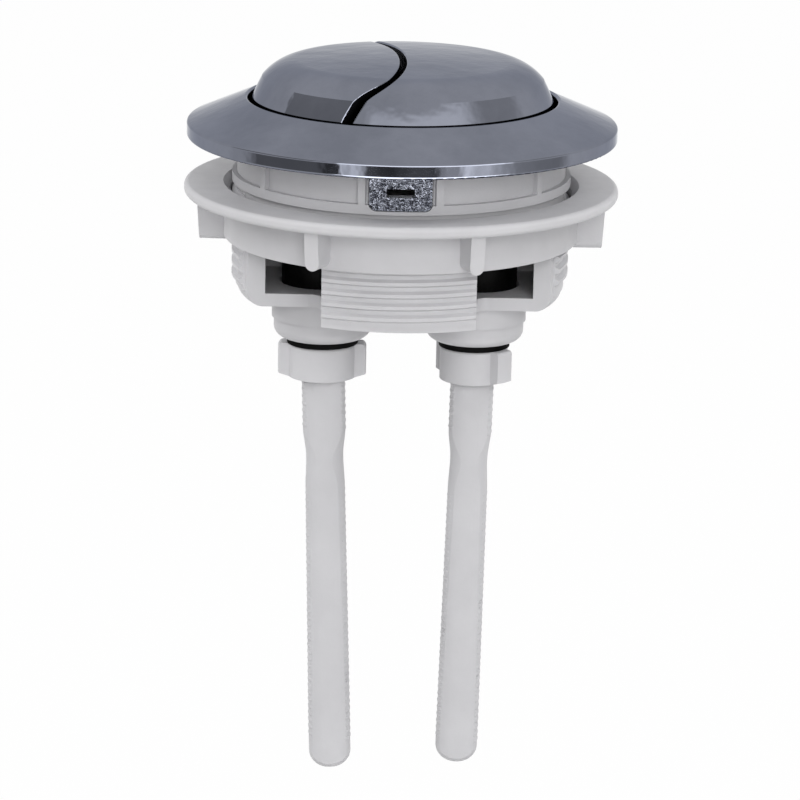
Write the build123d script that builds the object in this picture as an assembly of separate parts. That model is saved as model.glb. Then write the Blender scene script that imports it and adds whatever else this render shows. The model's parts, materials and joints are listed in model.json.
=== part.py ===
from build123d import *
import os
from math import asin, atan, cos, degrees, pi, radians, tan

# Dual-flush push button for a cistern lid. Millimetres, Z up, front at -Y.
# The origin is the centre of the bezel's seat on the lid. The half-flush side is at -X.

# Fit and clearances
seat_gap = 0.05
slide_clearance = 0.4
socket_clearance = 0.1
clip_clearance = 0.15
nut_clearance = 0.3

# Threaded spigot, which passes through a 58 mm hole in the lid
spigot_radius = 28.75
thread_depth = 0.7
thread_pitch = 2.0
thread_crest_width = 0.55
thread_flank_width = 0.4
thread_land = 0.25
thread_embed = 0.35
thread_top = -8.6
cup_wall = 1.85

# Bezel ring
bezel_radius = 36.5
bezel_rim_height = 2.45
bezel_crown_height = 6.9
bezel_wall = 1.6
bezel_edge_round = 0.45

# Clip fingers of the bezel
clip_width = 10.3
clip_length = 6.8
clip_thickness = 1.2
clip_corner_round = 1.2
clip_root_height = 2.5
clip_slot_width = 4.6
clip_slot_top = -3.15
clip_slot_height = 1.4
clip_barb_reach = 0.7
clip_barb_height = 1.5

# Sleeve above the thread
panel_step = 0.15
ledge_top = -5.96
ledge_height = 1.58
rib_width = 1.25
rib_angles = (12.9, 53.0)

# Cup with tongues and windows
floor_bottom = -27.5
floor_thickness = 2.2
shoulder_bottom = -11.0
shoulder_thickness = 1.6
tongue_half_width = 12.8
arm_wall = 1.7
lip_overhang = 1.7
inner_corner_round = 2.5
window_width = 9.8
arm_end_round = 2.3
thread_end_margin = 1.2

# Platform and bosses under the cup
axis_inset = 15.7
platform_wall = 1.8
platform_margin = 0.35
platform_depth = 3.9
boss_wall = 0.9
boss_depth = 3.7
boss_round = 2.0
boss_floor = 3.1

# Button caps
button_gap = 0.75
dome_top = 13.9
dome_sag = 1.1
dome_corner_round = 8.5
flank_width = 2.45
crease_height = 10.1
bevel_width = 1.6
bevel_foot = 6.7
bevel_bulge = 0.04
cap_wall = 1.6
skirt_bottom = -1.5
press_travel = 6.0

# Split between the two caps, seen from above
split_gap = 1.15
split_apex_inset = 19.15
split_back_radius = 60.0
split_front_radius = 43.6
split_turn_inset = 7.792
split_turn_radius = 6.0
split_turn_sweep = 48.7
split_overrun = 5.0
split_edge_round = 0.25

# Plungers
plunger_radius = 7.1
plunger_wall = 0.7
stem_radius = 5.1
plate_top = 3.0
plate_thickness = 2.0
pin_radius = 4.0
pin_headroom = 1.2
cap_socket_wall = 1.5
sleeve_landing = 0.4

# Return springs
spring_wire = 0.7
spring_turns = 9

# Rubber buffer rings
buffer_radius = 6.1
buffer_bore = 4.3
buffer_thickness = 1.05

# Winged nuts on the rods
rod_nut_radius = 5.85
rod_nut_wing_radius = 7.6
rod_nut_wing_width = 3.4
rod_nut_height = 6.3
rod_nut_taper = 18.0
rod_nut_bore = 4.15
rod_nut_end_wall = 0.4
rod_nut_edge_round = 0.6
half_rod_nut_turn = 0.0
full_rod_nut_turn = -45.0

# Push rods
rod_radius = 3.7
rod_neck_radius = 3.23
rod_lower_radius = 3.42
rod_end_radius = 3.7
rod_half_depth = 3.1
rod_face_radius = 5.0
rod_engagement = 11.0
rod_adjustment = 8.0
rod_socket_margin = 1.0
rod_socket_play = 0.7
rod_pivot = -34.0
neck_start = 28.0
neck_taper = 3.5
neck_length = 2.0
neck_round = 12.0
rod_tip_round = 3.0
half_rod_length = 89.5
full_rod_length = 88.0
half_rod_lean = 1.7
full_rod_lean = 1.1

# Lock nut
lid_gap = 7.85
flange_radius = 36.9
flange_thickness = 1.97
flange_edge_round = 0.8
nut_wall = 1.05
nut_mouth = 1.2
nut_skirt_depth = 7.2
nut_rib_depth = 4.9
nut_rib_taper = 0.6
nut_rib_width = 2.5
nut_rib_rise = 0.5
nut_rib_angles = (-24.5, 21.5, 157.0, -157.0)
nut_side_rib_drop = 1.85
nut_side_rib_angles = (91.0, -94.0)

# Radii, and the place of the split, that follow from the spigot
thread_root = spigot_radius - thread_depth
housing_bore = thread_root - cup_wall
cup_radius = thread_root - thread_land
panel_radius = thread_root - panel_step
bezel_bore = housing_bore
button_radius = bezel_bore - button_gap
split_y = split_apex_inset - button_radius
split_back_rise = button_radius + split_overrun - split_y
split_front_sweep = degrees(asin((split_apex_inset - split_turn_inset) / split_front_radius))
clip_inner = spigot_radius - clip_thickness
pocket_radius = clip_inner - clip_clearance
nut_bore = spigot_radius + nut_clearance
nut_skirt_radius = nut_bore + nut_wall

# Plunger, well and boss share one axis on each side
axis_offset = spigot_radius - axis_inset
well_radius = plunger_radius + slide_clearance
boss_radius = well_radius + boss_wall
boss_bore = stem_radius + slide_clearance
platform_half_width = well_radius + platform_wall
platform_half_length = axis_offset + boss_radius + platform_margin
arm_half_width = platform_half_width + lip_overhang
floor_top = floor_bottom + floor_thickness
platform_bottom = floor_bottom - platform_depth
boss_bottom = platform_bottom - boss_depth
well_bottom = boss_bottom + boss_floor
sleeve_bottom = well_bottom + press_travel + sleeve_landing
stem_bottom = boss_bottom - seat_gap
plate_bottom = plate_top - plate_thickness
plunger_bore = plunger_radius - plunger_wall
pin_top = dome_top - cap_wall - pin_headroom
buffer_bottom = stem_bottom - buffer_thickness
rod_socket_radius = rod_radius + rod_socket_play
rod_top = stem_bottom + rod_engagement
rod_socket_top = rod_top + rod_adjustment + rod_socket_margin
thread_lead_angle = degrees(atan(thread_pitch / (2 * pi * spigot_radius)))


def disc(radius, bottom, top, x=0.0, y=0.0):
    """Upright cylinder between two levels."""
    base = (Align.CENTER, Align.CENTER, Align.MIN)
    return Pos(x, y, bottom) * Cylinder(radius, top - bottom, align=base)


def block(x_range, y_range, z_range):
    """Box between pairs of coordinates."""
    size = [high - low for low, high in (x_range, y_range, z_range)]
    corner = Pos(x_range[0], y_range[0], z_range[0])
    return corner * Box(*size, align=(Align.MIN, Align.MIN, Align.MIN))


def flat(*points):
    """Closed flat outline from its corners."""
    return make_face(Polyline(*points, close=True))


def rounded(face, corners, radius):
    """The outline with the named corners rounded."""
    picked = [face.vertices().sort_by_distance(corner)[0] for corner in corners]
    return fillet(picked, radius)


def turned(face):
    """Solid of revolution about Z from an outline of radius and height."""
    return revolve(Plane.XZ * face, Axis.Z)


def raised(face, bottom, top):
    """Plan outline raised between two levels."""
    return extrude(Pos(0, 0, bottom) * face, top - bottom)


def clip_plate(margin):
    """Upright plate to the front, with the outline of a clip finger and a margin around it."""
    half = clip_width / 2 + margin
    bottom = -clip_length - margin
    lower = [(-half, bottom), (half, bottom)]
    outline = flat(*lower, (half, clip_root_height), (-half, clip_root_height))
    return extrude(Plane.XZ * rounded(outline, lower, clip_corner_round + margin), bezel_radius)


def clip_finger():
    """Front clip finger: a curved plate with a slot and an inward barb under it."""
    plate = clip_plate(0)
    plate &= disc(spigot_radius, -clip_length, clip_root_height)
    plate -= disc(clip_inner, -clip_length, clip_root_height)
    slot_half = clip_slot_width / 2
    slot_bottom = clip_slot_top - clip_slot_height
    plate -= block((-slot_half, slot_half), (-bezel_radius, 0), (slot_bottom, clip_slot_top))
    barb_bottom = slot_bottom - clip_barb_height
    barb_inner = clip_inner - clip_barb_reach
    barb = flat(
        (barb_inner, slot_bottom),
        (clip_inner + clip_clearance, slot_bottom),
        (clip_inner + clip_clearance, barb_bottom),
        (clip_inner, barb_bottom),
    )
    barb = turned(barb) & block((-slot_half, slot_half), (-bezel_radius, 0), (barb_bottom, slot_bottom))
    return plate + barb


def bezel_ring():
    """Hollow ring with a cone top, on a rim and an inner tube, with two clip fingers."""
    tube_radius = bezel_bore + bezel_wall
    rim_inner = bezel_radius - bezel_wall
    slope = (bezel_crown_height - bezel_rim_height) / (bezel_radius - bezel_bore)
    roof_drop = bezel_wall / cos(atan(slope))

    def under_roof(radius):
        return bezel_rim_height + slope * (bezel_radius - radius) - roof_drop

    outline = flat(
        (bezel_bore, seat_gap),
        (bezel_bore, bezel_crown_height),
        (bezel_radius, bezel_rim_height),
        (bezel_radius, 0),
        (rim_inner, 0),
        (rim_inner, under_roof(rim_inner)),
        (tube_radius, under_roof(tube_radius)),
        (tube_radius, seat_gap),
    )
    edges = [(bezel_bore, bezel_crown_height), (bezel_radius, bezel_rim_height), (bezel_radius, 0)]
    ring = turned(rounded(outline, edges, bezel_edge_round))
    finger = clip_finger()
    return ring + finger + Rot(Z=180) * finger


def cross_plan(inset):
    """Plan of the cup: an arm along X crossed by the tongues along Y, drawn in by a wall."""
    arm = arm_half_width - inset
    tongue = tongue_half_width - inset
    reach = 2 * spigot_radius
    plan = Rectangle(reach, 2 * arm) + Rectangle(2 * tongue, reach)
    corners = [(x, y) for x in (-tongue, tongue) for y in (-arm, arm)]
    return rounded(plan, corners, inner_corner_round)


def thread_sleeve(bottom, top):
    """Sleeve with parallel ridges, one pitch apart, down from the given top."""
    inner = cup_radius - thread_embed
    crest = thread_crest_width / 2
    base = crest + thread_flank_width
    points = [(inner, top), (thread_root, top)]
    middle = top - thread_pitch / 2
    while middle - base > bottom:
        points += [
            (thread_root, middle + base),
            (spigot_radius, middle + crest),
            (spigot_radius, middle - crest),
            (thread_root, middle - base),
        ]
        middle -= thread_pitch
    points += [(thread_root, bottom), (inner, bottom)]
    return turned(flat(*points))


def thread_segments():
    """Four stretches of the thread, each tilted by the lead angle and a quarter pitch on from the last."""
    reach = bezel_radius
    tongue = tongue_half_width
    arm = arm_half_width - thread_end_margin
    tongue_bottom = floor_bottom + thread_pitch / 2
    arm_bottom = floor_bottom + arm_end_round
    tall = (2 * floor_bottom, 0)
    stretches = [
        (0.25, Rot(Y=-thread_lead_angle), tongue_bottom, block((-tongue, tongue), (-reach, 0), tall)),
        (0.5, Rot(X=thread_lead_angle), arm_bottom, block((0, reach), (-arm, arm), tall)),
        (0.75, Rot(Y=thread_lead_angle), tongue_bottom, block((-tongue, tongue), (0, reach), tall)),
        (1.0, Rot(X=-thread_lead_angle), arm_bottom, block((-reach, 0), (-arm, arm), tall)),
    ]
    pieces = []
    for turn, tilt, bottom, sector in stretches:
        top = thread_top - thread_pitch * (1 - turn)
        pieces.append(tilt * thread_sleeve(bottom, top) & sector)
    return pieces


def sleeve():
    """Upper sleeve: panel, ledge and ribs, with pockets for the clip fingers."""
    ledge_bottom = ledge_top - ledge_height
    body = disc(panel_radius, ledge_bottom, 0) + disc(spigot_radius, ledge_bottom, ledge_top)
    shoulder_top = shoulder_bottom + shoulder_thickness
    body += disc(cup_radius, shoulder_top, ledge_bottom)
    rib = block((-rib_width / 2, rib_width / 2), (-spigot_radius, -housing_bore), (ledge_top, 0))
    rib &= disc(spigot_radius, ledge_top, 0)
    for angle in rib_angles:
        for turn in (angle, -angle, 180 + angle, 180 - angle):
            body += Rot(Z=turn) * rib
    body -= disc(housing_bore, shoulder_top, 0)
    pocket = clip_plate(clip_clearance) - disc(pocket_radius, -2 * clip_length, clip_root_height)
    slot_half = clip_slot_width / 2 + clip_clearance
    catch_range = (-clip_length, clip_slot_top + clip_clearance)
    catch_hole = block((-slot_half, slot_half), (-bezel_radius, 0), catch_range)
    for turn in (0, 180):
        body -= Rot(Z=turn) * pocket
        body -= Rot(Z=turn) * catch_hole
    return body


def cup_bound():
    """Round limit of the cup, with the lower edge rounded on the two side walls."""
    tall = (floor_bottom, shoulder_bottom)
    outline = flat((0, tall[0]), (cup_radius, tall[0]), (cup_radius, tall[1]), (0, tall[1]))
    bound = turned(rounded(outline, [(cup_radius, floor_bottom)], arm_end_round))
    tongues = block((-tongue_half_width, tongue_half_width), (-cup_radius, cup_radius), tall)
    return bound + (disc(cup_radius, *tall) & tongues)


def cup():
    """Lower cup: crossed arms with a floor, walls, a shoulder under the sleeve and two front windows."""
    shoulder_top = shoulder_bottom + shoulder_thickness
    body = raised(cross_plan(0), floor_bottom, shoulder_bottom) & cup_bound()
    body += disc(cup_radius, shoulder_bottom, shoulder_top)
    hollow = raised(cross_plan(arm_wall), floor_top, shoulder_top)
    body -= hollow & disc(housing_bore, floor_top, shoulder_top)
    window_start = tongue_half_width - arm_wall - inner_corner_round
    window_end = tongue_half_width + window_width
    window_back = -(arm_half_width - arm_wall - inner_corner_round)
    window = block((window_start, window_end), (-spigot_radius, window_back), (floor_top, shoulder_bottom))
    tongue = block((0, tongue_half_width), (-spigot_radius, 0), (floor_top, shoulder_bottom))
    window -= tongue - disc(housing_bore, floor_top, shoulder_bottom)
    return body - window - mirror(window, Plane.YZ)


def underside():
    """Platform and the two bosses, with their lower edges rounded."""
    ends = platform_half_width - platform_margin
    plan = RectangleRounded(2 * platform_half_length, 2 * platform_half_width, ends)
    body = raised(plan, platform_bottom, floor_top)
    outline = flat(
        (0, boss_bottom),
        (boss_radius, boss_bottom),
        (boss_radius, platform_bottom),
        (0, platform_bottom),
    )
    boss = turned(rounded(outline, [(boss_radius, boss_bottom)], boss_round))
    for x in (-axis_offset, axis_offset):
        body += Pos(x, 0, 0) * boss
    return body


def housing():
    """White body: sleeve, threaded cup, platform and bosses, with a well and a bore for each plunger."""
    body = cup() + sleeve() + underside()
    for piece in thread_segments():
        body += piece
    for x in (-axis_offset, axis_offset):
        body -= disc(well_radius, well_bottom, floor_top, x)
        body -= disc(boss_bore, boss_bottom, well_bottom, x)
    return body


def grip_rib(top, bottom):
    """Upright rib on the lock nut, along +X, with a round lower end."""
    root = nut_bore + nut_wall / 2
    reach = nut_skirt_radius + nut_rib_depth
    half = nut_rib_width / 2
    side = flat((root, top), (reach, top), (reach - nut_rib_taper, bottom), (root, bottom))
    face = Pos(0, bottom + half) * Circle(half)
    face += flat((-half, bottom + half), (half, bottom + half), (half, top), (-half, top))
    return extrude(Plane.XZ * side, half, both=True) & extrude(Plane.YZ * face, flange_radius)


def lock_nut():
    """Flanged ring nut with a short skirt, four short grip ribs and a longer one on each side."""
    top = -lid_gap
    flange_bottom = top - flange_thickness
    skirt_end = flange_bottom - nut_skirt_depth
    outline = flat(
        (nut_bore + nut_mouth, top),
        (flange_radius, top),
        (flange_radius, flange_bottom),
        (nut_skirt_radius, flange_bottom),
        (nut_skirt_radius, skirt_end),
        (nut_bore, skirt_end),
        (nut_bore, top - nut_mouth),
    )
    edges = [(flange_radius, top), (flange_radius, flange_bottom)]
    body = turned(rounded(outline, edges, flange_edge_round))
    rib_top = flange_bottom + flange_thickness / 2
    rib = grip_rib(rib_top, skirt_end + nut_rib_rise)
    for angle in nut_rib_angles:
        body += Rot(Z=angle - 90) * rib
    side_rib = grip_rib(rib_top, skirt_end - nut_side_rib_drop)
    for angle in nut_side_rib_angles:
        body += Rot(Z=angle - 90) * side_rib
    return body


def split_plan(side, inset):
    """Plan of one cap's side of the split (-1 left, 1 right), drawn back from the middle of the gap."""
    offset = side * (split_gap / 2 + inset)
    apex = (offset, split_y)
    back_radius = split_back_radius + offset
    back = JernArc(apex, (0, 1), back_radius, degrees(asin(split_back_rise / back_radius)))
    front = JernArc(apex, (0, -1), split_front_radius + offset, -split_front_sweep)
    turn = JernArc(front @ 1, front % 1, split_turn_radius + offset, -split_turn_sweep)
    leave = Line(turn @ 1, (turn @ 1) + (turn % 1) * button_radius)
    far = side * 2 * button_radius
    start, end = leave @ 1, back @ 1
    around = Polyline((start.X, start.Y), (far, start.Y), (far, end.Y), (end.X, end.Y))
    return make_face([*back.edges(), *front.edges(), *turn.edges(), *leave.edges(), *around.edges()])


def cap_dome(inset):
    """Dome, flank, bevel and skirt of both caps together, drawn in by a wall."""
    edge = button_radius - inset
    crease = edge - bevel_width
    corner = crease - flank_width
    top = dome_top - inset
    shoulder = top - dome_sag
    crown = ThreePointArc((-corner, shoulder), (0, top), (corner, shoulder))
    crown_half = ThreePointArc((0, top), crown @ 0.75, (corner, shoulder))
    flank = Line((corner, shoulder), (crease, crease_height - inset))
    bevel = SagittaArc(flank @ 1, (edge, bevel_foot - inset), bevel_bulge)
    rest = Polyline(bevel @ 1, (edge, skirt_bottom), (0, skirt_bottom), (0, top))
    outline = make_face([*crown_half.edges(), *flank.edges(), *bevel.edges(), *rest.edges()])
    return turned(rounded(outline, [(corner, shoulder)], dome_corner_round - inset))


def cap_block(side, inset):
    """One side of the split dome, drawn in by a wall."""
    return cap_dome(inset) & raised(split_plan(side, inset), skirt_bottom, dome_top)


def split_edges(cap):
    """Edges along the split, above the skirt: all others at that height are circles."""
    upper = [edge for edge in cap.edges() if (edge @ 0.5).Z > bevel_foot]
    return [edge for edge in upper if edge.geom_type != GeomType.CIRCLE]


def button_cap(side):
    """Hollow cap on one side of the split, with a socket for its plunger."""
    cap = cap_block(side, 0)
    shell = fillet(split_edges(cap), split_edge_round) - cap_block(side, cap_wall)
    x = side * axis_offset
    socket = disc(pin_radius + socket_clearance + cap_socket_wall, plate_top, dome_top, x)
    socket &= cap_dome(cap_wall / 2)
    socket -= disc(pin_radius + socket_clearance, plate_top, pin_top + socket_clearance, x)
    return shell + socket


def plunger(side):
    """Plunger: a sleeve over the spring, a hollow stem through the boss and a pin for the cap."""
    x = side * axis_offset
    body = disc(plunger_radius, sleeve_bottom, plate_top, x)
    body -= disc(plunger_bore, sleeve_bottom, plate_bottom, x)
    body += disc(stem_radius, stem_bottom, plate_top, x)
    body -= disc(rod_socket_radius, stem_bottom, rod_socket_top, x)
    return body + disc(pin_radius, plate_top, pin_top, x)


def spring(side):
    """Coil spring from the floor of the well to the plate of the plunger."""
    radius = (stem_radius + plunger_bore) / 2
    bottom = well_bottom + spring_wire / 2 + seat_gap
    height = plate_bottom - seat_gap - spring_wire / 2 - bottom
    coil = Helix(height / spring_turns, height, radius)
    wire = sweep(Plane(origin=coil @ 0, z_dir=coil % 0) * Circle(spring_wire / 2), path=coil)
    return Pos(side * axis_offset, 0, bottom) * wire


def buffer_ring(side):
    """Rubber ring between the end of the stem and the rod nut."""
    x = side * axis_offset
    hole = disc(buffer_bore, buffer_bottom, stem_bottom, x)
    return disc(buffer_radius, buffer_bottom, stem_bottom, x) - hole


def rod_nut(side, turn):
    """Round nut with two wings and a tapered lower end."""
    bottom = buffer_bottom - rod_nut_height
    end = rod_nut_bore + rod_nut_end_wall

    def outline(radius):
        waist = bottom + (radius - end) * tan(radians(rod_nut_taper))
        shoulder = (radius, buffer_bottom)
        face = flat((0, bottom), (end, bottom), (radius, waist), shoulder, (0, buffer_bottom))
        return rounded(face, [shoulder], rod_nut_edge_round)

    wings = turned(outline(rod_nut_wing_radius))
    half = rod_nut_wing_width / 2
    wings &= block((-bezel_radius, bezel_radius), (-half, half), (bottom, buffer_bottom))
    body = turned(outline(rod_nut_radius)) + wings
    body -= disc(rod_nut_bore, bottom, buffer_bottom)
    return Pos(side * axis_offset, 0, 0) * Rot(Z=turn) * body


def push_rod(side, length, lean):
    """Rod with a neck, flattened front and back and a rounded tip, leaning towards the middle."""
    tip = rod_top - length
    neck_top = rod_top - neck_start
    neck_upper = neck_top - neck_taper
    neck_lower = neck_upper - neck_length
    outline = flat(
        (0, rod_top),
        (rod_radius, rod_top),
        (rod_radius, neck_top),
        (rod_neck_radius, neck_upper),
        (rod_neck_radius, neck_lower),
        (rod_lower_radius, neck_lower - neck_taper),
        (rod_end_radius, tip),
        (0, tip),
    )
    neck = [
        (rod_radius, neck_top),
        (rod_neck_radius, neck_upper),
        (rod_neck_radius, neck_lower),
        (rod_lower_radius, neck_lower - neck_taper),
    ]
    outline = rounded(outline, neck, neck_round)
    body = turned(rounded(outline, [(rod_end_radius, tip)], rod_tip_round))
    face_centre = rod_face_radius - rod_half_depth
    for y in (-face_centre, face_centre):
        body &= disc(rod_face_radius, tip, rod_top, 0, y)
    pivot = Pos(side * axis_offset, 0, rod_pivot) * Rot(Y=side * lean)
    return pivot * Pos(0, 0, -rod_pivot) * body


parts = {
    "bezel_ring": bezel_ring(),
    "housing": housing(),
    "lock_nut": lock_nut(),
}
sides = (
    ("half_flush", -1, half_rod_nut_turn, half_rod_length, half_rod_lean),
    ("full_flush", 1, full_rod_nut_turn, full_rod_length, full_rod_lean),
)
for name, side, nut_turn, rod_length, rod_lean in sides:
    parts[name + "_button"] = button_cap(side)
    parts[name + "_plunger"] = plunger(side)
    parts[name + "_spring"] = spring(side)
    parts[name + "_buffer_ring"] = buffer_ring(side)
    parts[name + "_rod_nut"] = rod_nut(side, nut_turn)
    parts[name + "_rod"] = push_rod(side, rod_length, rod_lean)

os.makedirs("parts", exist_ok=True)
for name, solid in parts.items():
    export_step(solid, f"parts/{name}.step")
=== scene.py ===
import bpy
import bmesh
import json
from math import cos, pi, radians, sin
from mathutils import Matrix, Vector


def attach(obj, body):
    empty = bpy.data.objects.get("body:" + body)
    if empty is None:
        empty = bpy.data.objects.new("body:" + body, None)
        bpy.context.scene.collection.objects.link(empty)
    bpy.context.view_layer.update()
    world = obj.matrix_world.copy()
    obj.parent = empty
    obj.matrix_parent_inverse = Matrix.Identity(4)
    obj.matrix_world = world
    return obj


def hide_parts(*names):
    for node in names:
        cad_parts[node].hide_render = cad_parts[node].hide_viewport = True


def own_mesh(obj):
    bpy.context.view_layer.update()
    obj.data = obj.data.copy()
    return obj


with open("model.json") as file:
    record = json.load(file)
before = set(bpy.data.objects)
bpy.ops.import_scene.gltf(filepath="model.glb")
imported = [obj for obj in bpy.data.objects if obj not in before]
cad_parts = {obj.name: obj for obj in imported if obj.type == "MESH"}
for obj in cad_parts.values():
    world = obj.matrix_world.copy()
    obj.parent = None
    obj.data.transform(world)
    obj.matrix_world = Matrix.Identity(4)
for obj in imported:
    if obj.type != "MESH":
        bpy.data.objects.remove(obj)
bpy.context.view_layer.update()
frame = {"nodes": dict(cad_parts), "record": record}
nodes = frame["nodes"]
scene = bpy.context.scene
MM = 0.001

# Chrome parts: upright walls inside this radius, in the split and the gaps, get a near-black painted
# shade, and the clip fingers are below the seat
PAINTED_SHADE_RADIUS = 27.0 * MM
UPRIGHT_LIMIT = 0.12
SEAT_TOLERANCE = 0.2 * MM
RELIEF_DEPTH = 0.9 * MM
# Tint of the plating's reflection at a glancing angle
GLANCING_TINT = (0.59, 0.605, 0.65, 1)
# Strength of the surface reflection of the white and the black plastics
WHITE_SHINE = 0.15
BLACK_SHINE = 0.025
# Middle of the rounded lower edge of the bezel's rim, in a section through the axis
RIM_EDGE_RADIUS = 36.05 * MM
RIM_EDGE_HEIGHT = 0.45 * MM

# Camera, as far away, as high and as tilted as the photographed one
CAMERA_PLACE = Vector((0.5, -637.6, 126.3)) * MM
CAMERA_AIM = Vector((0.5, 0.0, -46.4)) * MM
CAMERA_ROLL = radians(1.1)
CAMERA_LENS = 172.0
CAMERA_SENSOR = 36.0

# Rod threads, which run on the left and right of each rod, above and below its neck
ROD_RADIUS = 3.7 * MM
ROD_LOWER_RADIUS = 3.42 * MM
ROD_END_RADIUS = 3.7 * MM
ROD_AXIS_X = 13.05 * MM
ROD_PIVOT = -34.0 * MM
ROD_LEAN = {"half": 1.7, "full": 1.1}
THREAD_PITCH = 1.25 * MM
THREAD_HALF_ARC = radians(36)
THREAD_RISE = 0.08 * MM
THREAD_RANGE = (-51.5 * MM, -26.0 * MM)
LOWER_THREAD_RISE = 0.05 * MM
LOWER_THREAD_RANGE = (-108.0 * MM, -62.0 * MM)
# One ridge of a rod thread: steps along it, half its width at the root and the crest as shares of the
# pitch, and how suddenly it ends
RIDGE_STEPS = 12
RIDGE_ROOT = 0.42
RIDGE_CREST = 0.08
RIDGE_END_POWER = 6

# Level of the white background, the same to the camera and in reflections
WHITE_LEVEL = 1.0

# Floor below the rods, nearly all white to the camera and greyer in the light that it throws back
FLOOR_SIZE = 6.0
FLOOR_HEIGHT = -0.16
FLOOR_GREY = 0.6
FLOOR_WHITE_SHARE = 0.98

# Soft lamps, all pointed at one place: name, place and size in metres, and power in watts
LAMP_AIM = Vector((0.0, 0.0, -0.04))
LAMPS = (
    ("key_front", (0.2, -1.3, 0.42), 0.6, 8.8),
    ("side_left", (-1.1, -0.1, 0.8), 0.8, 9.4),
    ("side_right", (1.0, -0.2, 1.0), 0.8, 7.5),
)

# Even light on every surface, which reflections do not show
EVEN_LIGHT = 0.57

# Cards in front of the white background, which only reflections show: their levels and where they stand
# Elevations and azimuths are in degrees, azimuth 0 at the front and positive to the right
FLOOR_CARD = 6.4
STRIP_LEVEL = 4.0
GLOW_LEVEL = 1.55
LEFT_FLAG = 0.49
RIGHT_FLAG = 0.68
RIM_LIGHT = 3.2
FLOOR_CARD_BAND = (-92, -91, -17, -13.5)
FLOOR_CARD_SIDES = (-40, -34, 54, 64)
RIM_BAND = (-19, -15, -7, -4)
STRIP_BAND = (-5, -2, 24, 32)
STRIP_SIDES = (-38, -32, 54, 64)
GLOW_BAND = (26, 32, 36, 42)
GLOW_SIDES = (-34, -24, 50, 66)
LEFT_FLAG_BAND = (11, 13, 43, 44)
LEFT_FLAG_SIDES = (-105, -103, -48, -46)
RIGHT_FLAG_BAND = (12, 18, 41, 43)
RIGHT_FLAG_SIDES = (58, 74, 98, 112)
# Cards around the rim: azimuth, and level as a share of RIM_LIGHT
RIM_CARDS = (
    (-105, 0.34),
    (-92, 0.28),
    (-82, 0.09),
    (-44, 0.09),
    (-39, 0.03),
    (-35, 0.05),
    (-33, 0.8),
    (-29, 0.5),
    (-25, 0.75),
    (-20, 0.35),
    (-17, 0.07),
    (-6, 0.03),
    (8, 0.07),
    (18, 0.05),
    (23, 0.3),
    (30, 0.3),
    (35, 0.8),
    (40, 0.55),
    (47, 0.6),
    (54, 0.38),
    (64, 0.22),
    (92, 0.17),
    (102, 0.34),
    (160, 0.36),
)


class Nodes:
    """Short way to make a material's or world's nodes and join them."""

    def __init__(self, tree):
        self.tree = tree
        tree.nodes.clear()

    def add(self, kind, **values):
        node = self.tree.nodes.new("ShaderNode" + kind)
        for name, value in values.items():
            if name in node.inputs:
                node.inputs[name].default_value = value
            else:
                setattr(node, name, value)
        return node

    def link(self, start, end):
        self.tree.links.new(start, end)

    def ramp(self, factor, *stops):
        node = self.add("ValToRGB")
        elements = node.color_ramp.elements
        while len(elements) < len(stops):
            elements.new(0.5)
        for element, (place, colour) in zip(elements, stops):
            element.position = place
            element.color = colour if len(colour) == 4 else (*colour, 1)
        self.link(factor, node.inputs["Fac"])
        return node.outputs["Color"]

    def math(self, operation, *values):
        node = self.add("Math", operation=operation)
        for socket, value in zip(node.inputs, values):
            if isinstance(value, (int, float)):
                socket.default_value = value
            else:
                self.link(value, socket)
        return node.outputs[0]

    def mix(self, factor, first, second):
        node = self.add("Mix", data_type="RGBA")
        for name, value in (("Factor_Float", factor), ("A_Color", first), ("B_Color", second)):
            socket = next(socket for socket in node.inputs if socket.identifier == name)
            if isinstance(value, tuple):
                socket.default_value = (*value, 1)
            else:
                self.link(value, socket)
        return next(socket for socket in node.outputs if socket.identifier == "Result_Color")

    def band(self, value, rise_start, rise_end, fall_start, fall_end):
        rise = self.add("MapRange", interpolation_type="SMOOTHSTEP")
        fall = self.add("MapRange", interpolation_type="SMOOTHSTEP")
        for node, start, end in ((rise, rise_start, rise_end), (fall, fall_end, fall_start)):
            self.link(value, node.inputs["Value"])
            node.inputs["From Min"].default_value = start
            node.inputs["From Max"].default_value = end
        return self.math("MULTIPLY", rise.outputs["Result"], fall.outputs["Result"])

    def noise(self, vector, scale, detail=4.0, roughness=0.55):
        node = self.add("TexNoise", Scale=scale, Detail=detail, Roughness=roughness)
        self.link(vector, node.inputs["Vector"])
        return node.outputs["Fac"]

    def bump(self, height, strength, distance, normal=None):
        node = self.add("Bump", Strength=strength, Distance=distance)
        self.link(height, node.inputs["Height"])
        if normal:
            self.link(normal, node.inputs["Normal"])
        return node.outputs["Normal"]


def grey(value):
    """Neutral colour of one level."""
    return (value, value, value)


def new_material(name):
    material = bpy.data.materials.new(name)
    material.use_nodes = True
    made = Nodes(material.node_tree)
    shader = made.add("BsdfPrincipled")
    output = made.add("OutputMaterial")
    made.link(shader.outputs["BSDF"], output.inputs["Surface"])
    place = made.add("TexCoord").outputs["Object"]
    return material, made, shader, place


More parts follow.
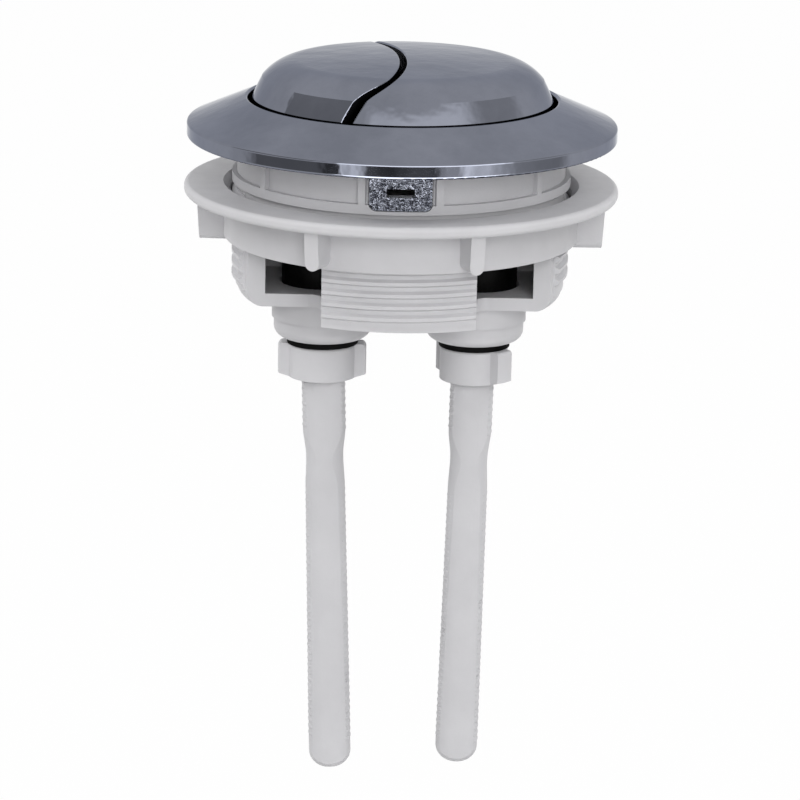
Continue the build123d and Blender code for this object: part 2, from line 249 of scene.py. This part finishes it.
def rim_edge_normal(made, x, y, z, radius):
    """Exact direction of the rim's rounded lower edge, which small triangles would break into ticks."""
    below = made.math("LESS_THAN", z, RIM_EDGE_HEIGHT)
    on_edge = made.math("MULTIPLY", below, made.math("GREATER_THAN", radius, RIM_EDGE_RADIUS))
    share = made.math("DIVIDE", made.math("SUBTRACT", radius, RIM_EDGE_RADIUS), radius)
    outward = made.add("CombineXYZ")
    made.link(made.math("MULTIPLY", x, share), outward.inputs["X"])
    made.link(made.math("MULTIPLY", y, share), outward.inputs["Y"])
    made.link(made.math("SUBTRACT", z, RIM_EDGE_HEIGHT), outward.inputs["Z"])
    unit = made.add("VectorMath", operation="NORMALIZE")
    made.link(outward.outputs[0], unit.inputs[0])
    return made.mix(on_edge, made.add("NewGeometry").outputs["Normal"], unit.outputs[0])


def chrome_material():
    """Chrome plating, its colour darkened as a painted reflection of a dim room, with faint smudges, a
    sparkling grain on the clip fingers, and rough inner walls painted near-black as shade.
    """
    material, made, shader, place = new_material("chrome_plating")
    shader.inputs["Metallic"].default_value = 1.0
    shader.inputs["Specular Tint"].default_value = GLANCING_TINT
    axes = made.add("SeparateXYZ")
    made.link(place, axes.inputs[0])
    x, y, z = (axes.outputs[name] for name in "XYZ")
    radius = made.math("SQRT", made.math("ADD", made.math("MULTIPLY", x, x), made.math("MULTIPLY", y, y)))
    normal = made.add("SeparateXYZ")
    made.link(made.add("NewGeometry").outputs["True Normal"], normal.inputs[0])
    upright = made.math("LESS_THAN", made.math("ABSOLUTE", normal.outputs["Z"]), UPRIGHT_LIMIT)
    painted_shade_walls = made.math("MULTIPLY", upright, made.math("LESS_THAN", radius, PAINTED_SHADE_RADIUS))
    finger = made.math("LESS_THAN", z, -SEAT_TOLERANCE)
    smudge = made.noise(place, 60, 6, 0.65)
    # Painted shade: the chrome's colour is kept far darker than real plating, so that the white it
    # reflects looks like a dim grey room; the smudges and the fingers' grain vary it at random
    smudges_and_painted_room_shade = made.ramp(smudge, (0.35, (0.163, 0.173, 0.208)), (0.65, (0.209, 0.22, 0.262)))
    grain = made.noise(place, 1600, 2, 0.7)
    grain_and_painted_room_shade = made.ramp(grain, (0.38, (0.071, 0.076, 0.095)), (0.54, (0.28, 0.293, 0.34)))
    # Upright inner walls get a near-black colour as painted shade of the split and the gaps
    colour = made.mix(painted_shade_walls, made.mix(finger, smudges_and_painted_room_shade, grain_and_painted_room_shade), (0.002, 0.002, 0.0024))
    made.link(colour, shader.inputs["Base Color"])
    wipe = made.math("MULTIPLY_ADD", made.noise(place, 240, 3), 0.06, 0.025)
    dull = made.math("MULTIPLY_ADD", painted_shade_walls, 0.35, made.math("MULTIPLY", finger, 0.06))
    made.link(made.math("ADD", dull, wipe), shader.inputs["Roughness"])
    relief = made.math("MULTIPLY", grain, finger)
    wave = made.math("MULTIPLY", made.noise(place, 150, 3), 0.14)
    facing = rim_edge_normal(made, x, y, z, radius)
    height = made.math("ADD", relief, wave)
    made.link(made.bump(height, 1.0, RELIEF_DEPTH, facing), shader.inputs["Normal"])
    return material


def white_material():
    """Moulded white plastic: faint flow marks in the colour and a fine grain."""
    material, made, shader, place = new_material("white_moulded_plastic")
    shader.inputs["IOR"].default_value = 1.5
    shader.inputs["Specular IOR Level"].default_value = WHITE_SHINE
    flow = made.noise(place, 70, 5, 0.6)
    colour = made.ramp(flow, (0.3, (0.475, 0.472, 0.486)), (0.7, (0.525, 0.522, 0.537)))
    made.link(colour, shader.inputs["Base Color"])
    wear = made.noise(place, 400, 3)
    made.link(made.ramp(wear, (0.3, grey(0.38)), (0.7, grey(0.52))), shader.inputs["Roughness"])
    made.link(made.bump(made.noise(place, 1800, 3), 0.25, 0.0001), shader.inputs["Normal"])
    return material


def black_material(name, darkest, lightest, rough_low, rough_high):
    """Black moulded acetal or rubber with a fine grain."""
    material, made, shader, place = new_material(name)
    shader.inputs["Specular IOR Level"].default_value = BLACK_SHINE
    mottle = made.noise(place, 300, 4)
    made.link(made.ramp(mottle, (0.3, darkest), (0.7, lightest)), shader.inputs["Base Color"])
    rough = made.ramp(mottle, (0.3, grey(rough_low)), (0.7, grey(rough_high)))
    made.link(rough, shader.inputs["Roughness"])
    made.link(made.bump(made.noise(place, 2200, 2), 0.3, 0.0001), shader.inputs["Normal"])
    return material


def steel_material():
    """Drawn spring wire with fine streaks."""
    material, made, shader, place = new_material("drawn_spring_wire")
    shader.inputs["Metallic"].default_value = 1.0
    streak = made.noise(place, 900, 3)
    made.link(made.ramp(streak, (0.3, grey(0.5)), (0.7, grey(0.66))), shader.inputs["Base Color"])
    made.link(made.ramp(streak, (0.3, grey(0.22)), (0.7, grey(0.38))), shader.inputs["Roughness"])
    return material


CHROME = chrome_material()
WHITE = white_material()
ACETAL = black_material("black_acetal", grey(0.002), grey(0.005), 0.35, 0.5)
RUBBER = black_material("black_rubber", grey(0.002), grey(0.004), 0.6, 0.8)
STEEL = steel_material()
FINISH = {
    "chrome_plated_abs": CHROME,
    "white_plastic": WHITE,
    "black_acetal": ACETAL,
    "black_rubber": RUBBER,
    "spring_steel": STEEL,
}
for part in frame["record"]["subparts"]:
    mesh = nodes[part["node"]].data
    mesh.materials.clear()
    mesh.materials.append(FINISH[part["material_slot"]])


def ridge(mesh, middle, level, radius, rise):
    """One tapering ridge of a thread, around one side of a rod."""
    rings = []
    for step in range(RIDGE_STEPS + 1):
        share = 2 * step / RIDGE_STEPS - 1
        angle = middle + share * THREAD_HALF_ARC
        height = level + THREAD_PITCH * share * THREAD_HALF_ARC / (2 * pi)
        root = radius - THREAD_RISE
        crest = radius + rise * (1 - share ** RIDGE_END_POWER)
        section = ((root, -RIDGE_ROOT), (crest, -RIDGE_CREST), (crest, RIDGE_CREST), (root, RIDGE_ROOT))
        ring = [(r * cos(angle), r * sin(angle), height + z * THREAD_PITCH) for r, z in section]
        rings.append([mesh.verts.new(point) for point in ring])
    for first, second in zip(rings, rings[1:]):
        for low in range(4):
            high = (low + 1) % 4
            mesh.faces.new((first[low], second[low], second[high], first[high]))
    mesh.faces.new(rings[0])
    mesh.faces.new(reversed(rings[-1]))


def rod_thread(name, side):
    """Interrupted thread of one rod, above its neck and, shallower, below it."""
    mesh = bmesh.new()
    stretches = (
        (THREAD_RANGE, ROD_RADIUS, ROD_RADIUS, THREAD_RISE),
        (LOWER_THREAD_RANGE, ROD_END_RADIUS, ROD_LOWER_RADIUS, LOWER_THREAD_RISE),
    )
    for (bottom, top), bottom_radius, top_radius, rise in stretches:
        half_turns = int(2 * (top - bottom) / THREAD_PITCH)
        for turn in range(half_turns):
            share = turn / half_turns
            radius = bottom_radius + share * (top_radius - bottom_radius)
            ridge(mesh, pi * (turn % 2), bottom + share * (top - bottom), radius, rise)
    bmesh.ops.recalc_face_normals(mesh, faces=mesh.faces)
    data = bpy.data.meshes.new(name + "_rod_thread")
    mesh.to_mesh(data)
    mesh.free()
    place = Matrix.Translation((side * ROD_AXIS_X, 0, ROD_PIVOT))
    tilt = Matrix.Rotation(side * radians(ROD_LEAN[name]), 4, "Y")
    data.transform(place @ tilt @ Matrix.Translation((0, 0, -ROD_PIVOT)))
    data.materials.append(WHITE)
    for face in data.polygons:
        face.use_smooth = True
    piece = bpy.data.objects.new(name + "_rod_thread", data)
    scene.collection.objects.link(piece)
    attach(piece, name + "_rod")


rod_thread("half", -1)
rod_thread("full", 1)


def return_spring(name):
    """Return spring, a copy of the model's spring with its own mesh, fixed to the housing in its place.
    """
    node = name + "_spring"
    piece = bpy.data.objects.new(name + "_return_spring", nodes[node].data.copy())
    scene.collection.objects.link(piece)
    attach(piece, "housing")
    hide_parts(node)
    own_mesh(piece)


return_spring("half_flush")
return_spring("full_flush")


def floor():
    """Pale floor below the rods. Reflections show the world's white in its place, behind the cards."""
    bpy.ops.mesh.primitive_plane_add(size=FLOOR_SIZE, location=(0, 0, FLOOR_HEIGHT))
    plane = bpy.context.object
    plane.name = "floor"
    material = bpy.data.materials.new("pale_floor")
    material.use_nodes = True
    made = Nodes(material.node_tree)
    matt = made.add("BsdfDiffuse", Color=(*grey(FLOOR_GREY), 1))
    white = made.add("Emission", Strength=WHITE_LEVEL)
    mix = made.add("MixShader")
    path = made.add("LightPath")
    seen = made.math("MULTIPLY", path.outputs["Is Camera Ray"], FLOOR_WHITE_SHARE)
    made.link(seen, mix.inputs["Fac"])
    made.link(matt.outputs[0], mix.inputs[1])
    made.link(white.outputs[0], mix.inputs[2])
    made.link(mix.outputs[0], made.add("OutputMaterial").inputs["Surface"])
    plane.data.materials.append(material)
    plane.visible_glossy = False


def white_with_cards(made):
    """Light from each direction, as reflections show it: the white background and the cards."""
    direction = made.add("SeparateXYZ")
    made.link(made.add("TexCoord").outputs["Generated"], direction.inputs[0])
    x, y, z = (direction.outputs[name] for name in "XYZ")
    elevation = made.math("DEGREES", made.math("ARCSINE", z))
    azimuth = made.math("DEGREES", made.math("ARCTAN2", x, made.math("MULTIPLY", y, -1.0)))
    around = made.math("MULTIPLY_ADD", azimuth, 1 / 360, 0.5)
    rim_cards = made.ramp(around, *((0.5 + angle / 360, grey(level)) for angle, level in RIM_CARDS))
    lit_cards = made.add("VectorMath", operation="SCALE", Scale=RIM_LIGHT)
    made.link(rim_cards, lit_cards.inputs[0])
    light = made.mix(made.band(elevation, *RIM_BAND), grey(WHITE_LEVEL), lit_cards.outputs[0])
    cards = (
        (FLOOR_CARD_BAND, FLOOR_CARD_SIDES, grey(FLOOR_CARD)),
        (STRIP_BAND, STRIP_SIDES, grey(STRIP_LEVEL)),
        (GLOW_BAND, GLOW_SIDES, grey(GLOW_LEVEL)),
        (LEFT_FLAG_BAND, LEFT_FLAG_SIDES, grey(LEFT_FLAG)),
        (RIGHT_FLAG_BAND, RIGHT_FLAG_SIDES, grey(RIGHT_FLAG)),
    )
    for heights, sides, level in cards:
        inside = made.math("MULTIPLY", made.band(elevation, *heights), made.band(azimuth, *sides))
        light = made.mix(inside, light, level)
    return light


def studio_world():
    """White to the camera, white with cards in reflections, and an even soft light on every surface."""
    world = bpy.data.worlds.new("studio")
    scene.world = world
    world.use_nodes = True
    made = Nodes(world.node_tree)
    path = made.add("LightPath")
    reflected = made.add("Background", Strength=1.0)
    made.link(white_with_cards(made), reflected.inputs["Color"])
    even = made.add("Background", Color=(1, 1, 1, 1), Strength=EVEN_LIGHT)
    white = made.add("Background", Color=(1, 1, 1, 1), Strength=WHITE_LEVEL)
    lit = made.add("MixShader")
    made.link(path.outputs["Is Glossy Ray"], lit.inputs["Fac"])
    made.link(even.outputs[0], lit.inputs[1])
    made.link(reflected.outputs[0], lit.inputs[2])
    seen = made.add("MixShader")
    clear = made.math("MAXIMUM", path.outputs["Is Camera Ray"], path.outputs["Is Transmission Ray"])
    made.link(clear, seen.inputs["Fac"])
    made.link(lit.outputs[0], seen.inputs[1])
    made.link(white.outputs[0], seen.inputs[2])
    made.link(seen.outputs[0], made.add("OutputWorld").inputs["Surface"])


def softbox(name, place, size, power):
    """Square soft lamp pointed at the object."""
    lamp = bpy.data.lights.new(name, "AREA")
    lamp.size = size
    lamp.energy = power
    lamp.use_shadow = True
    box = bpy.data.objects.new(name, lamp)
    box.location = place
    box.rotation_euler = (LAMP_AIM - Vector(place)).to_track_quat("-Z", "Y").to_euler()
    box.visible_glossy = False
    box.visible_camera = False
    scene.collection.objects.link(box)


def camera():
    """Long lens from a little above, turned slightly about its own axis."""
    data = bpy.data.cameras.new("camera")
    data.lens = CAMERA_LENS
    data.sensor_width = CAMERA_SENSOR
    eye = bpy.data.objects.new("camera", data)
    look = (CAMERA_AIM - CAMERA_PLACE).to_track_quat("-Z", "Y").to_matrix().to_4x4()
    eye.matrix_world = Matrix.Translation(CAMERA_PLACE) @ look @ Matrix.Rotation(CAMERA_ROLL, 4, "Z")
    scene.collection.objects.link(eye)
    scene.camera = eye


floor()
studio_world()
for lamp in LAMPS:
    softbox(*lamp)
camera()
scene.view_settings.view_transform = "Standard"
